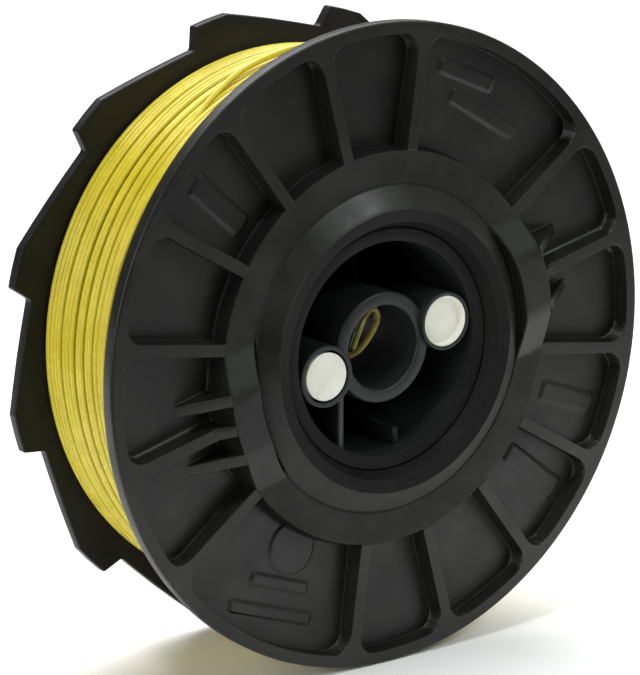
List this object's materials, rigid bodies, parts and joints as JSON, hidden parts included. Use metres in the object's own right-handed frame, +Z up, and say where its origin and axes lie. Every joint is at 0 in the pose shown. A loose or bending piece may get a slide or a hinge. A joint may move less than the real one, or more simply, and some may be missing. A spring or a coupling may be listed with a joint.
{
  "type": "wire spool",
  "caption": "Round reel of coated tie wire with a ribbed front flange, a hollow hub with a central bore and a toothed rear flange.",
  "frame": {"origin": "on the spool's axis, half way between the front and rear contact faces", "axes": "+Y along the axis towards the toothed rear flange, -Y out of the ribbed front face, +Z up"},
  "size_m": [0.092, 0.032, 0.092],
  "materials": {
    "plastic_front": "moulded satin black",
    "plastic_core": "moulded satin black",
    "plastic_rear": "moulded satin black",
    "disc_white": "smooth off-white",
    "wire_coating": "glossy yellow coat on steel wire"
  },
  "bodies": {
    "root": {"front_flange": "plastic_front", "core_drum": "plastic_core", "rear_toothed_flange": "plastic_rear", "sensor_disc_right": "disc_white", "sensor_disc_left": "disc_white", "wire_winding": "wire_coating", "wire_start_end": "wire_coating", "wire_finish_end": "wire_coating"}
  },
  "joints": []
}
